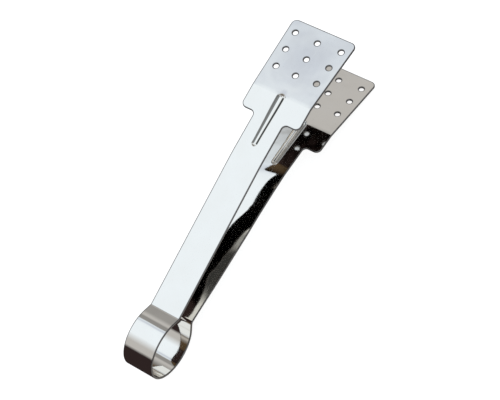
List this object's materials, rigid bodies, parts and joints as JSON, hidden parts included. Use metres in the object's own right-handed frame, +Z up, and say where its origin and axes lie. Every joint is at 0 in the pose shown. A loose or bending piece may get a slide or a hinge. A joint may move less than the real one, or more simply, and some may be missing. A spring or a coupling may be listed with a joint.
{
  "type": "stamp tongs",
  "caption": "Sprung strip tongs with a round bow, slim arms with pressed stiffening ribs, and wide cranked blades pierced with drain holes.",
  "frame": {"origin": "on the table the tongs lie on, under the middle of their bounding box", "axes": "+X from the round bow towards the blades, +Y across the strip, +Z up, with the tongs resting on the bow and on the lower blade's tip"},
  "size_m": [0.1284, 0.0248, 0.0341],
  "materials": {
    "strip_steel": "polished"
  },
  "bodies": {
    "bow": {"bow_back": "strip_steel"},
    "upper": {"upper_bow_side": "strip_steel", "upper_neck": "strip_steel", "upper_arm": "strip_steel", "upper_rib": "strip_steel", "upper_blade": "strip_steel"},
    "lower": {"lower_bow_side": "strip_steel", "lower_neck": "strip_steel", "lower_arm": "strip_steel", "lower_rib": "strip_steel", "lower_blade": "strip_steel"}
  },
  "joints": [
    {"name": "upper_squeeze", "type": "hinge", "parent": "bow", "child": "upper", "pos_m": [-0.05603, 0, 0.02121], "axis": [0, 1, 0], "range_deg": [0, 7.4], "stiffness_Nm_per_rad": 1.6},
    {"name": "lower_squeeze", "type": "hinge", "parent": "bow", "child": "lower", "pos_m": [-0.0503, 0, 0.0008], "axis": [0, -1, 0], "range_deg": [0, 7.4], "stiffness_Nm_per_rad": 1.6}
  ],
  "couplings": [
    {"joint": "lower_squeeze", "follows": "upper_squeeze", "ratio": 1}
  ]
}
